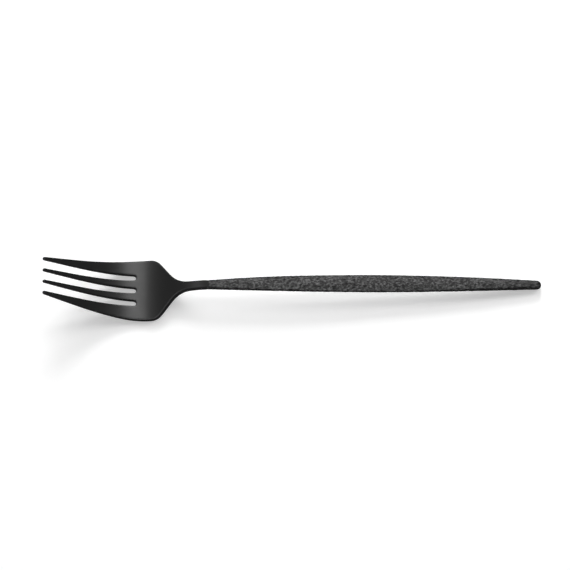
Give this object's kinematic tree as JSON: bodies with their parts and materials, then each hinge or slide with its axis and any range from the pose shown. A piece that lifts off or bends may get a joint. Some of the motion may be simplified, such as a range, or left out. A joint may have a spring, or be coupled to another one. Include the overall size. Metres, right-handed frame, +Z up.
{
  "type": "dinner fork",
  "caption": "Slim black dinner fork lying tines up: a smooth tined head with square shoulders, and a rough stone-textured handle that swells in its middle, for eating at table.",
  "frame": {"origin": "on the table that the fork lies on, under the middle of its length and width", "axes": "+X along the fork from the tine tips to the handle's end, +Y across it, +Z up from the table, out of the side that the tines curve towards"},
  "size_m": [0.21, 0.0276, 0.0188],
  "materials": {
    "head_black_steel": "satin",
    "handle_black_cast_steel": "matte",
    "epoxy_bond": "gloss"
  },
  "bodies": {
    "root": {"fork_head": "head_black_steel", "handle": "handle_black_cast_steel", "tang_bond": "epoxy_bond"}
  },
  "joints": []
}
